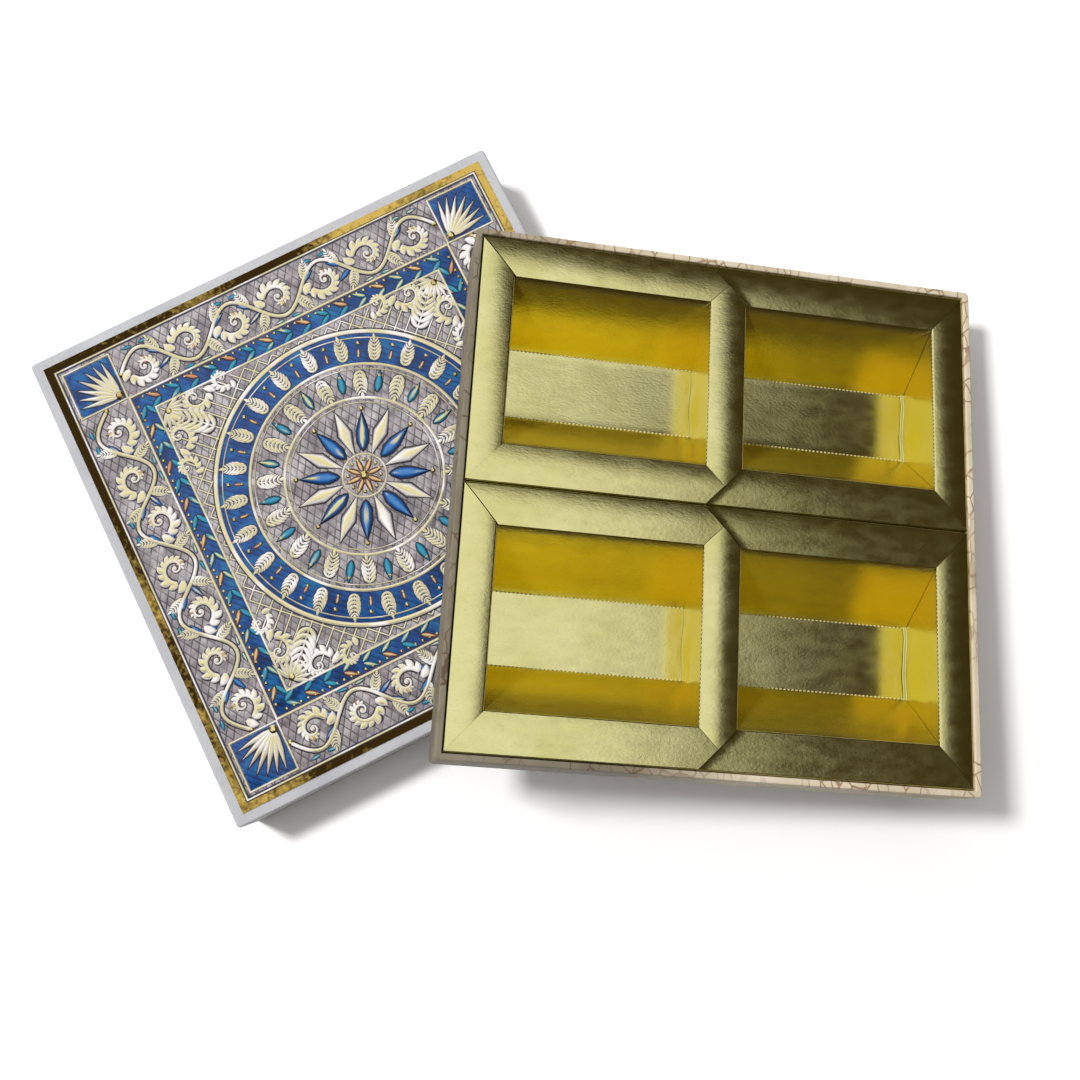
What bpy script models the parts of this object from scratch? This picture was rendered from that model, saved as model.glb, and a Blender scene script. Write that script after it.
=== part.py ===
"""Rigid gift box for dried fruit, in two parts, with folded card inserts.

The lid lies face up. The open tray leans on the lid's edge: its underside rests on the
edge, and its lowest corner touches the table. Two card inserts stand in the tray, each
with two wells. Metres, +Z up. The origin is the centre of the bounding box's base.
"""

import bpy
import bmesh
from math import asin, atan2, cos, hypot, pi, radians, sin
from mathutils import Matrix, Vector

# Driving sizes of the two shells
TRAY_SIDE = 0.200
TRAY_HEIGHT = 0.029
LID_HEIGHT = 0.029
LID_PLAY = 0.00035
BOARD = 0.0015
PAPER = 0.00025
STAY = 0.00015
GLUE_GAP = 0.0001
CORNER_RADIUS = 0.0016
EDGE_RADIUS = 0.0009
RIM_RADIUS = 0.0005
LEAST_RADIUS = 0.00015
TURN_IN = 0.020
LINER_MARGIN = 0.0006
STAY_LEG = 0.018
STAY_MARGIN = 0.002
LABEL_MARGIN = 0.0044

# Driving sizes of the card inserts
CARD = 0.0004
RIM_LONG = 0.0152
RIM_SHORT = 0.0132
DIVIDER_WIDTH = 0.0144
DIVIDER_CROWN = 0.0003
WELL_FLOOR_WIDTH = 0.028
END_LEAN = 0.0004
INSERT_RECESS = 0.0005
INSERT_PLAY = 0.00035
SPLIT_GAP = 0.0004

# Clearance between pieces that touch, and how far a cutter runs past what it cuts
TOUCH_GAP = 0.0003
OVERRUN = 0.002

# How the tray lies on the lid: the lid's turn under it, how far the tray's centre lies
# beyond the lid's edge, and how far along that edge from its middle
LID_TURN = radians(30.4)
TRAY_PAST_EDGE = 0.0087
TRAY_ALONG_EDGE = -0.0777

CORNER_STEPS = 6
EDGE_STEPS = 3
SMOOTH_ANGLE = radians(35)

# What follows from the driving sizes
LAP = 2 * GLUE_GAP + STAY
BOARD_INSET = PAPER + LAP
WALL = BOARD_INSET + BOARD + GLUE_GAP + PAPER
LID_SIDE = TRAY_SIDE + 2 * (LID_PLAY + WALL)
INSERT_LENGTH = TRAY_SIDE - 2 * (WALL + INSERT_PLAY)
INSERT_WIDTH = (INSERT_LENGTH - SPLIT_GAP) / 2
INSERT_SEAT = WALL + TOUCH_GAP
INSERT_HEIGHT = TRAY_HEIGHT - INSERT_RECESS - INSERT_SEAT
OPENING_HALF = INSERT_WIDTH / 2 - RIM_LONG

COLOURS = {
    "white_paper": ((0.55, 0.55, 0.58), 0.45, 0.0),
    "veined_paper": ((0.57, 0.48, 0.35), 0.6, 0.0),
    "greyboard": ((0.28, 0.26, 0.23), 0.9, 0.0),
    "kraft_tape": ((0.38, 0.25, 0.14), 0.8, 0.0),
    "gold_card": ((0.53, 0.44, 0.12), 0.35, 0.9),
    "printed_foil": ((0.42, 0.42, 0.45), 0.35, 0.4),
}


def clear_scene():
    for thing in list(bpy.data.objects):
        bpy.data.objects.remove(thing)


def material(name):
    found = bpy.data.materials.get(name)
    if found:
        return found
    colour, roughness, metallic = COLOURS[name]
    made = bpy.data.materials.new(name)
    made.use_nodes = True
    shader = made.node_tree.nodes["Principled BSDF"]
    shader.inputs["Base Color"].default_value = (*colour, 1.0)
    shader.inputs["Roughness"].default_value = roughness
    shader.inputs["Metallic"].default_value = metallic
    made.diffuse_color = (*colour, 1.0)
    return made


def empty(name, parent, matrix):
    """A bare axis that carries pieces; matrix is its place under its parent."""
    made = bpy.data.objects.new(name, None)
    made.empty_display_size = OVERRUN
    bpy.context.collection.objects.link(made)
    made.parent = parent
    made.matrix_local = matrix
    return made


def mesh_object(name, points, faces, colour, parent):
    """A closed mesh with its faces turned outward, as one named object."""
    shape = bmesh.new()
    corners = [shape.verts.new(point) for point in points]
    for face in faces:
        shape.faces.new([corners[index] for index in face])
    bmesh.ops.recalc_face_normals(shape, faces=shape.faces)
    mesh = bpy.data.meshes.new(name)
    shape.to_mesh(mesh)
    shape.free()
    mesh.materials.append(material(colour))
    made = bpy.data.objects.new(name, mesh)
    bpy.context.collection.objects.link(made)
    made.parent = parent
    return made


def prism(name, outline, low, high, colour, parent):
    """An outline in plan, raised from low to high."""
    count = len(outline)
    points = [(x, y, low) for x, y in outline] + [(x, y, high) for x, y in outline]
    faces = [list(range(count)), list(range(count, 2 * count))]
    for index in range(count):
        after = (index + 1) % count
        faces.append([index, after, count + after, count + index])
    return mesh_object(name, points, faces, colour, parent)


def corner_arc(half, inset, quarter):
    """The rounded corner of a square, drawn in by inset, in one quarter turn."""
    radius = max(CORNER_RADIUS - inset, LEAST_RADIUS)
    centre = half - inset - radius
    spread = [pi / 2 * (quarter + step / CORNER_STEPS) for step in range(CORNER_STEPS + 1)]
    sign_x = 1 if quarter in (0, 3) else -1
    sign_y = 1 if quarter in (0, 1) else -1
    return [(sign_x * centre + radius * cos(turn), sign_y * centre + radius * sin(turn))
            for turn in spread]


def rounded_square(half, inset):
    return [point for quarter in range(4) for point in corner_arc(half, inset, quarter)]


def lofted(name, side, profile, colour, parent):
    """Rounded squares of one side, drawn in and set at the heights of a profile.

    The profile is a list of (inset, height). Its first and last squares are closed.
    """
    rings = [[(x, y, height) for x, y in rounded_square(side / 2, inset)]
             for inset, height in profile]
    count = len(rings[0])
    points = [point for ring in rings for point in ring]
    faces = [list(range(count)), list(range(len(points) - count, len(points)))]
    for level in range(len(rings) - 1):
        for index in range(count):
            after = (index + 1) % count
            here = level * count
            above = here + count
            faces.append([here + index, here + after, above + after, above + index])
    made = mesh_object(name, points, faces, colour, parent)
    made.data.shade_smooth()
    made.data.set_sharp_from_angle(angle=SMOOTH_ANGLE)
    return made


def rounding(inset, height, radius, start):
    """A quarter round of a profile about (inset, height), from start on."""
    turns = [start + pi / 2 * step / EDGE_STEPS for step in range(EDGE_STEPS + 1)]
    return [(inset - radius * sin(turn), height + radius * cos(turn)) for turn in turns]


def wrap_profile(height):
    """A paper skin over a lid: top, sides, round the rim and up inside as a flap."""
    outside = rounding(EDGE_RADIUS, height - EDGE_RADIUS, EDGE_RADIUS, 0)
    outside += rounding(RIM_RADIUS, RIM_RADIUS, RIM_RADIUS, pi / 2)
    flap = rounding(WALL - RIM_RADIUS, RIM_RADIUS, RIM_RADIUS, pi)
    flap += [(WALL, TURN_IN), (WALL - PAPER, TURN_IN), (WALL - PAPER, PAPER)]
    inner_radius = EDGE_RADIUS - PAPER
    inside = [(PAPER, PAPER)]
    inside += reversed(rounding(EDGE_RADIUS, height - EDGE_RADIUS, inner_radius, 0))
    return outside + flap + inside


def board_profile(height):
    """The greyboard under that skin: a panel with four walls."""
    rim = PAPER + GLUE_GAP
    inner = BOARD_INSET + BOARD
    return [(BOARD_INSET, height - BOARD_INSET), (BOARD_INSET, rim),
            (inner, rim), (inner, height - inner)]


def sheet_profile(inset, low, high):
    return [(inset, high), (inset, low)]


def turned_over(profile, height):
    """The same profile with its open side up."""
    return [(inset, height - level) for inset, level in profile]


def corner_stays(name, side, low, high, parent):
    """Gummed tapes round the board's four upright corners."""
    outer = PAPER + GLUE_GAP
    inner = outer + STAY
    half = side / 2
    end = half - STAY_LEG
    for quarter in range(4):
        face = [(half - outer, end)] + corner_arc(half, outer, 0) + [(end, half - outer)]
        back = [(half - inner, end)] + corner_arc(half, inner, 0) + [(end, half - inner)]
        turn = Matrix.Rotation(quarter * pi / 2, 2)
        outline = [turn @ Vector(point) for point in face + back[::-1]]
        prism(f"{name}_{quarter + 1}", outline, low, high, "kraft_tape", parent)


def shell(name, side, height, opens_up, wrap_colour, liner_colour, parent):
    """Board, corner stays, wrap and liner of one half of the box."""
    wrap = wrap_profile(height)
    board = board_profile(height)
    liner_low = height - WALL
    liner = sheet_profile(WALL + LINER_MARGIN, liner_low, liner_low + PAPER)
    stay_low = PAPER + GLUE_GAP + STAY_MARGIN
    stay_high = height - BOARD_INSET - STAY_MARGIN
    if opens_up:
        wrap = turned_over(wrap, height)
        board = turned_over(board, height)
        liner = turned_over(liner, height)
        stay_low, stay_high = height - stay_high, height - stay_low
    lofted(f"{name}_board", side, board, "greyboard", parent)
    corner_stays(f"{name}_stay", side, stay_low, stay_high, parent)
    lofted(f"{name}_wrap", side, wrap, wrap_colour, parent)
    lofted(f"{name}_liner", side, liner, liner_colour, parent)


def offset_path(path, distance):
    """A bent line moved to its right by a distance, with its corners kept."""
    normals = []
    for first, second in zip(path, path[1:]):
        along = Vector(second) - Vector(first)
        along.normalize()
        normals.append(Vector((along.y, -along.x)))
    moved = []
    for index, point in enumerate(path):
        before = normals[max(index - 1, 0)]
        after = normals[min(index, len(normals) - 1)]
        middle = (before + after).normalized()
        moved.append(Vector(point) + middle * distance / middle.dot(before))
    return moved


def folded_card(name, folds, runs_along_x, parent):
    """Card of one thickness, folded along parallel lines.

    Each fold is (place across, height, half length of the fold line).
    """
    face = [Vector(fold[:2]) for fold in folds]
    back = offset_path([fold[:2] for fold in folds], CARD)
    points = []
    for (across, height, reach), under in zip(folds, back):
        for end in (-reach, reach):
            for place, level in ((across, height), under):
                points.append((end, place, level) if runs_along_x else (place, end, level))
    faces = []
    for fold in range(len(face) - 1):
        here = 4 * fold
        there = here + 4
        faces.append([here, here + 2, there + 2, there])
        faces.append([here + 1, here + 3, there + 3, there + 1])
        faces.append([here, here + 1, there + 1, there])
        faces.append([here + 2, here + 3, there + 3, there + 2])
    last = 4 * (len(face) - 1)
    faces.append([0, 1, 3, 2])
    faces.append([last, last + 1, last + 3, last + 2])
    return mesh_object(name, points, faces, "gold_card", parent)


def trough_folds():
    """Skirt, rim and slope down to the floor, and the same up the other side."""
    edge = INSERT_WIDTH / 2
    end = INSERT_LENGTH / 2
    open_end = end - RIM_SHORT - TOUCH_GAP
    half = [(edge, 0.0, end), (edge, INSERT_HEIGHT, end),
            (OPENING_HALF, INSERT_HEIGHT, open_end),
            (WELL_FLOOR_WIDTH / 2, CARD, open_end - END_LEAN)]
    near = [(-across, height, reach) for across, height, reach in half]
    return near + half[::-1]


def end_folds():
    """Skirt, short rim and end wall, for the end at the lower x."""
    end = -INSERT_LENGTH / 2
    skirt_reach = INSERT_WIDTH / 2 - CARD - TOUCH_GAP
    return [(end, 0.0, skirt_reach), (end, INSERT_HEIGHT, skirt_reach),
            (end + RIM_SHORT, INSERT_HEIGHT, OPENING_HALF),
            (end + RIM_SHORT + END_LEAN, 0.0, WELL_FLOOR_WIDTH / 2)]


def divider_folds():
    """Wall, cap with a ridge that ends in two points, and wall."""
    half = DIVIDER_WIDTH / 2
    tip = OPENING_HALF + RIM_LONG / 2 - TOUCH_GAP
    wall_top = OPENING_HALF - TOUCH_GAP
    foot = CARD + TOUCH_GAP
    foot_reach = WELL_FLOOR_WIDTH / 2 - TOUCH_GAP
    return [(-half, foot, foot_reach), (-half, INSERT_HEIGHT, wall_top),
            (0.0, INSERT_HEIGHT + DIVIDER_CROWN, tip),
            (half, INSERT_HEIGHT, wall_top), (half, foot, foot_reach)]


def crossing(point_a, along_a, point_b, along_b):
    """Where two lines in plan meet."""
    gap = point_b - point_a
    share = (gap.x * along_b.y - gap.y * along_b.x) / (along_a.x * along_b.y - along_a.y * along_b.x)
    return point_a + along_a * share


def seam_outline(long_side, rim_side):
    """Plan of the notch for the divider's point, and the slit that runs on from it.

    The long seam starts at the well's corner on long_side (1 right, -1 left) and crosses
    the whole rim; rim_side is 1 for the rim at the higher y.
    """
    half = DIVIDER_WIDTH / 2
    seam = Vector((-DIVIDER_WIDTH, RIM_LONG)).normalized()
    mirrored = Vector((-seam.x, seam.y))
    seam_normal = Vector((seam.y, -seam.x))
    corner = Vector((half, OPENING_HALF))
    other = Vector((-half, OPENING_HALF)) + Vector((-mirrored.y, mirrored.x)) * TOUCH_GAP
    stop = INSERT_WIDTH / 2 - CARD - TOUCH_GAP
    level = Vector((1, 0))
    wide = half + TOUCH_GAP
    wall_slope = (OPENING_HALF - WELL_FLOOR_WIDTH / 2) / (INSERT_HEIGHT - CARD)
    inner = OPENING_HALF - (CARD + 2 * TOUCH_GAP) * wall_slope
    far = corner + seam_normal * TOUCH_GAP
    outline = [Vector((-wide, inner)), Vector((-wide, OPENING_HALF)),
               crossing(corner, seam, other, mirrored),
               crossing(corner, seam, Vector((0, stop)), level),
               crossing(far, seam, Vector((0, stop)), level),
               Vector((wide, OPENING_HALF)), Vector((wide, inner))]
    return [(long_side * point.x, rim_side * point.y) for point in outline]


def cut(piece, cutter):
    """Takes a cutter's shape out of a piece."""
    cutter.hide_render = True
    cutter.display_type = "WIRE"
    modifier = piece.modifiers.new("seam", "BOOLEAN")
    modifier.operation = "DIFFERENCE"
    modifier.solver = "EXACT"
    modifier.object = cutter


def insert(name, long_sides, seat):
    """One insert of folded card; long_sides gives the seam's side on each rim."""
    trough = folded_card(f"{name}_trough", trough_folds(), True, seat)
    low = INSERT_HEIGHT - CARD - TOUCH_GAP
    for rim_side, long_side in long_sides.items():
        outline = seam_outline(long_side, rim_side)
        cutter = prism(f"{name}_seam_{'back' if rim_side > 0 else 'front'}", outline, low,
                       INSERT_HEIGHT + OVERRUN, "gold_card", seat)
        cut(trough, cutter)
    folded_card(f"{name}_end_left", end_folds(), False, seat)
    right = folded_card(f"{name}_end_right", end_folds(), False, seat)
    right.rotation_euler.z = pi
    folded_card(f"{name}_divider", divider_folds(), False, seat)


def lean():
    """Places of the lid and the tray, with the lid's middle at the origin.

    The tray's underside is a plane that passes TOUCH_GAP above the lid's rounded edge and
    comes down to the table at the tray's lowest corner.
    """
    down = Vector((cos(LID_TURN), sin(LID_TURN), 0))
    along = Vector((-sin(LID_TURN), cos(LID_TURN), 0))
    base = rounded_square(TRAY_SIDE / 2, EDGE_RADIUS)
    reach = TRAY_PAST_EDGE + max(down.x * x + down.y * y for x, y in base)
    arm = EDGE_RADIUS + TOUCH_GAP
    rise = LID_HEIGHT - EDGE_RADIUS
    tilt = atan2(arm, reach) + asin(rise / hypot(reach, arm))
    edge = down * (LID_SIDE / 2 - EDGE_RADIUS) + Vector((0, 0, rise))
    turn = Matrix.Rotation(tilt, 4, along)
    up = turn @ Vector((0, 0, 1))
    centre = edge + up * arm + turn @ down * TRAY_PAST_EDGE + along * TRAY_ALONG_EDGE
    return Matrix.Rotation(LID_TURN, 4, "Z"), Matrix.Translation(centre) @ turn


def base_centre(lid_place, tray_place):
    """Middle of the whole box in plan, from the outlines of both shells."""
    lid_points = [lid_place @ Vector((x, y, 0)) for x, y in rounded_square(LID_SIDE / 2, 0)]
    levels = [(0, EDGE_RADIUS), (EDGE_RADIUS, 0),
              (TRAY_HEIGHT - RIM_RADIUS, 0), (TRAY_HEIGHT, RIM_RADIUS)]
    tray_points = [tray_place @ Vector((x, y, level)) for level, inset in levels
                   for x, y in rounded_square(TRAY_SIDE / 2, inset)]
    points = lid_points + tray_points
    middle = [(min(point[axis] for point in points) + max(point[axis] for point in points)) / 2
              for axis in (0, 1)]
    return Vector((*middle, 0))


def main():
    clear_scene()
    lid_place, tray_place = lean()
    home = Matrix.Translation(-base_centre(lid_place, tray_place))
    lid_seat = empty("lid_seat", None, home @ lid_place)
    tray_seat = empty("tray_seat", None, home @ tray_place)
    shell("lid", LID_SIDE, LID_HEIGHT, False, "white_paper", "white_paper", lid_seat)
    label_low = LID_HEIGHT + GLUE_GAP
    label = sheet_profile(LABEL_MARGIN, label_low, label_low + PAPER)
    lofted("lid_label", LID_SIDE, label, "printed_foil", lid_seat)
    shell("tray", TRAY_SIDE, TRAY_HEIGHT, True, "veined_paper", "white_paper", tray_seat)
    offset = (INSERT_WIDTH + SPLIT_GAP) / 2
    inserts = {"insert_back": (1, {1: 1, -1: 1}), "insert_front": (-1, {1: -1, -1: 1})}
    for name, (side, long_sides) in inserts.items():
        place = Matrix.Translation((0, side * offset, INSERT_SEAT))
        insert(name, long_sides, empty(f"{name}_seat", tray_seat, place))


main()
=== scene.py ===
"""Looks of the open gift box: a printed lid lying face up, and a tray of gold card wells.

Metres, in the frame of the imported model. Each piece is modelled level, in the frame of
the lid, the tray or an insert, and then laid where that one lies.
"""

from functools import partial
from math import asin, atan2, cos, degrees, exp, hypot, pi, radians, sin

import bmesh
import bpy
from mathutils import Matrix, Vector


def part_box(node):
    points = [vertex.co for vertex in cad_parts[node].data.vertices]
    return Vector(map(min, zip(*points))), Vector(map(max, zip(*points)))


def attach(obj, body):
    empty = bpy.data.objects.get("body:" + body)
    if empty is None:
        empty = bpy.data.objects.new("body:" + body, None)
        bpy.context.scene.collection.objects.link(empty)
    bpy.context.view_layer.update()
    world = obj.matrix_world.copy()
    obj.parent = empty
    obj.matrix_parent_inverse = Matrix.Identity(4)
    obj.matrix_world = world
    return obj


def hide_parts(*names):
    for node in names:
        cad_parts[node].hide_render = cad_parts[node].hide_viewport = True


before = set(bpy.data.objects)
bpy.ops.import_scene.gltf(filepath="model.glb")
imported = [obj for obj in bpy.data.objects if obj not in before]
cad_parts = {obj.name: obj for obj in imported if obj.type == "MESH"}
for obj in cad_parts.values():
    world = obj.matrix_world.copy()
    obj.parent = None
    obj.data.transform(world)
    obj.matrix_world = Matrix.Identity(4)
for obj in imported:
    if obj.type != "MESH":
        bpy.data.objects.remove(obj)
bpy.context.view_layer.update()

MM = 0.001

# Sizes of the two shells, as in the part's source
TRAY_SIDE = 200 * MM
SHELL_HEIGHT = 29 * MM
LID_PLAY = 0.35 * MM
WALL = 2.45 * MM
LID_SIDE = TRAY_SIDE + 2 * (LID_PLAY + WALL)
PAPER = 0.25 * MM
TURN_IN = 20 * MM
CORNER_RADIUS = 1.6 * MM
EDGE_RADIUS = 0.9 * MM
RIM_RADIUS = 0.5 * MM
TOUCH_GAP = 0.3 * MM
LABEL_HALF = LID_SIDE / 2 - 4.4 * MM
LABEL_TOP = SHELL_HEIGHT + 0.35 * MM

# Sizes of the card inserts, as in the part's source
CARD = 0.4 * MM
RIM_LONG = 15.2 * MM
RIM_SHORT = 13.2 * MM
DIVIDER_HALF = 7.2 * MM
FLOOR_HALF = 14 * MM
END_LEAN = 0.4 * MM
SPLIT_GAP = 0.4 * MM
INSERT_LENGTH = TRAY_SIDE - 2 * (WALL + 0.35 * MM)
INSERT_WIDTH = (INSERT_LENGTH - SPLIT_GAP) / 2
INSERT_SEAT = WALL + TOUCH_GAP
INSERT_HEIGHT = SHELL_HEIGHT - 0.5 * MM - INSERT_SEAT
OPENING_HALF = INSERT_WIDTH / 2 - RIM_LONG

# How the tray lies on the lid, as in the part's source
LID_TURN = radians(30.4)
TRAY_PAST_EDGE = 8.7 * MM
TRAY_ALONG_EDGE = -77.7 * MM


# Places

def seats():
    """Places of the lid and the tray in the frame."""
    down = Vector((cos(LID_TURN), sin(LID_TURN), 0))
    along = Vector((-sin(LID_TURN), cos(LID_TURN), 0))
    half = TRAY_SIDE / 2 - EDGE_RADIUS
    radius = CORNER_RADIUS - EDGE_RADIUS
    reach = TRAY_PAST_EDGE + (half - radius) * (abs(down.x) + abs(down.y)) + radius
    arm = EDGE_RADIUS + TOUCH_GAP
    rise = SHELL_HEIGHT - EDGE_RADIUS
    tilt = atan2(arm, reach) + asin(rise / hypot(reach, arm))
    edge = down * (LID_SIDE / 2 - EDGE_RADIUS) + Vector((0, 0, rise))
    turn = Matrix.Rotation(tilt, 4, along)
    centre = edge + turn @ Vector((0, 0, arm)) + turn @ down * TRAY_PAST_EDGE
    centre += along * TRAY_ALONG_EDGE
    lid = Matrix.Rotation(LID_TURN, 4, "Z")
    tray = Matrix.Translation(centre) @ turn
    low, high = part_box("lid_wrap")
    home = Matrix.Translation(((low.x + high.x) / 2, (low.y + high.y) / 2, 0))
    return home @ lid, home @ tray


LID_SEAT, TRAY_SEAT = seats()
SPREAD = (INSERT_WIDTH + SPLIT_GAP) / 2
BACK_SEAT = TRAY_SEAT @ Matrix.Translation((0, SPREAD, INSERT_SEAT))
FRONT_SEAT = TRAY_SEAT @ Matrix.Translation((0, -SPREAD, INSERT_SEAT))


# Shader nodes

COLOUR = {"data_type": "RGBA"}
MULTIPLY = {"data_type": "RGBA", "blend_type": "MULTIPLY"}
WHITE = (1, 1, 1, 1)
BLACK = (0, 0, 0, 1)


def ink(code):
    """A colour written as sRGB hex, in the linear values that shaders take."""
    values = [int(code[at:at + 2], 16) / 255 for at in (1, 3, 5)]
    linear = [v / 12.92 if v <= 0.04045 else ((v + 0.055) / 1.055) ** 2.4 for v in values]
    return (*linear, 1.0)


def every(size):
    """The scale of a texture whose pattern is about this many millimetres across."""
    return 1 / (size * MM)


def plug(node, sockets):
    """Sets a node's inputs, by name or number, to values, outputs or other nodes."""
    for key, value in sockets.items():
        if isinstance(value, bpy.types.Node):
            value = next(output for output in value.outputs if output.enabled)
        if isinstance(value, bpy.types.NodeSocket):
            node.id_data.links.new(value, node.inputs[key])
        else:
            node.inputs[key].default_value = value


def add(tree, kind, sockets=None, stops=(), **settings):
    """Adds a node with its settings, its inputs and, for a ramp, its colour stops.

    A Map Range's inputs 1 to 4 are its limits from and to; a Mix's inputs 0, 6 and 7 are
    the share of the second colour, and the two colours.
    """
    made = tree.nodes.new("ShaderNode" + kind)
    for key, value in settings.items():
        setattr(made, key, value)
    plug(made, sockets or {})
    if stops:
        steps = made.color_ramp.elements
        while len(steps) < len(stops):
            steps.new(1.0)
        for step, (place, colour) in zip(steps, stops):
            step.position = place
            step.color = ink(colour) if isinstance(colour, str) else (colour,) * 3 + (1.0,)
    return made


def blank(name, seat=None):
    """A material, its node adder, object coordinates and its shader. With a seat, the
    coordinates are brought back to the level frame that the piece was made in."""
    made = bpy.data.materials.new(name)
    made.use_nodes = True
    node = partial(add, made.node_tree)
    place = node("TexCoord").outputs["Object"]
    if seat is not None:
        place = node("Mapping", {0: place, "Location": seat.to_translation(),
                                 "Rotation": seat.to_euler()}, vector_type="TEXTURE")
    return made, node, place, made.node_tree.nodes["Principled BSDF"]


# Materials

def white_paper(name, colour, shade, speck):
    """White paper pasted on board: a faint satin sheen, soft waves where the paste pulled
    it, and fine specks of grey. The specks are drawn coarser than real ones, at 0.7 mm,
    to show at all."""
    made, node, place, shader = blank(name, LID_SEAT)
    cloud = node("TexNoise", {"Vector": place, "Scale": every(22.2), "Detail": 3.0})
    fleck = node("TexNoise", {"Vector": place, "Scale": every(0.714), "Detail": 2.0})
    tint = node("ValToRGB", {0: cloud}, [(0.3, shade), (0.62, colour)])
    grain = node("ValToRGB", {0: fleck}, [(0.28, speck), (0.42, "#FFFFFF")])
    both = node("Mix", {0: 0.35, 6: tint, 7: grain}, **MULTIPLY)
    rough = node("MapRange", {0: cloud, 3: 0.42, 4: 0.58})
    fine = node("Bump", {"Strength": 0.25, "Distance": 0.03 * MM, "Height": fleck})
    wave = node("Bump", {"Strength": 0.4, "Distance": 0.4 * MM, "Height": cloud, "Normal": fine})
    plug(shader, {"Base Color": both, "Roughness": rough, "Normal": wave, "IOR": 1.5})
    return made


def veined_paper(name):
    """Uncoated decorative paper, offset printed: beige ground with a net of thin brown
    veins, 4 to 7 mm apart and fading in places, and a cloudy taupe tone, with painted
    shade darker towards one corner. The fibres are drawn coarser than real ones, at 0.6 mm."""
    made, node, place, shader = blank(name, TRAY_SEAT)
    bend = node("TexNoise", {"Vector": place, "Scale": every(11.1), "Detail": 3.0})
    shift = node("VectorMath", {0: bend.outputs["Color"], "Scale": 4 * MM}, operation="SCALE")
    moved = node("VectorMath", {0: place, 1: shift})
    leant = node("Mapping", {0: moved, "Rotation": (0.6, 0.3, 0.9), "Scale": (1.0, 0.62, 0.8)})
    net = node("TexVoronoi", {"Vector": leant, "Scale": every(5)}, feature="DISTANCE_TO_EDGE")
    thin = node("MapRange", {0: net, 1: 0.02, 2: 0.055})
    patch = node("TexNoise", {"Vector": place, "Scale": every(16.67), "Detail": 0.0})
    here = node("MapRange", {0: patch, 1: 0.42, 2: 0.66})
    line = node("Math", {0: here, 1: thin}, operation="MAXIMUM")
    cloud = node("TexNoise", {"Vector": place, "Scale": every(26.3), "Detail": 4.0})
    tint = node("ValToRGB", {0: cloud}, [(0.3, "#B8A98E"), (0.5, "#D5C7AC"), (0.7, "#DFD3BC")])
    veined = node("Mix", {0: line, 6: ink("#9C8263"), 7: tint}, **COLOUR)
    # Painted shade: the paper is darkened towards the tray's front left corner
    x, y, _ = node("SeparateXYZ", {0: place}).outputs
    across = node("Math", {0: y, 1: 0.35, 2: x}, operation="MULTIPLY_ADD")
    painted_shade = node("MapRange", {0: across, 1: -20 * MM, 2: -70 * MM})
    both = node("Mix", {0: painted_shade, 6: veined, 7: ink("#A09F9E")}, **MULTIPLY)
    fibre = node("TexNoise", {"Vector": place, "Scale": every(0.625), "Detail": 2.0})
    relief = node("Bump", {"Strength": 0.4, "Distance": 0.04 * MM, "Height": fibre})
    plug(shader, {"Base Color": both, "Roughness": 0.62, "Normal": relief, "IOR": 1.5})
    return made


def greyboard(name):
    """Recycled grey chipboard, rolled from waste paper: matt, with dark and pale fibres
    about half a millimetre long."""
    made, node, place, shader = blank(name)
    fibre = node("TexNoise", {"Vector": place, "Scale": every(0.556), "Detail": 5.0, "Distortion": 1.5})
    cloud = node("TexNoise", {"Vector": place, "Scale": every(11.1), "Detail": 3.0})
    tint = node("ValToRGB", {0: fibre}, [(0.3, "#6E6960"), (0.5, "#8F8A80"), (0.68, "#B2ADA2")])
    shade = node("ValToRGB", {0: cloud}, [(0.3, 0.8), (0.7, 1.0)])
    both = node("Mix", {0: 1.0, 6: tint, 7: shade}, **MULTIPLY)
    relief = node("Bump", {"Strength": 0.5, "Distance": 0.06 * MM, "Height": fibre})
    plug(shader, {"Base Color": both, "Roughness": 0.92, "Normal": relief, "IOR": 1.5})
    return made


def fibrous(name, width, length, stops, rough):
    """Bare paper or board: matt, mottled by its fibres, whose sizes in millimetres are
    drawn coarser than real ones."""
    made, node, place, shader = blank(name)
    drawn = node("Mapping", {0: place, "Scale": (1.0, 1.0, width / length)})
    fibre = node("TexNoise", {"Vector": drawn, "Scale": every(width), "Detail": 4.0})
    tint = node("ValToRGB", {0: fibre}, stops)
    relief = node("Bump", {"Strength": 0.4, "Distance": 0.04 * MM, "Height": fibre})
    plug(shader, {"Base Color": tint, "Roughness": rough, "Normal": relief, "IOR": 1.5})
    return made


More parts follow.
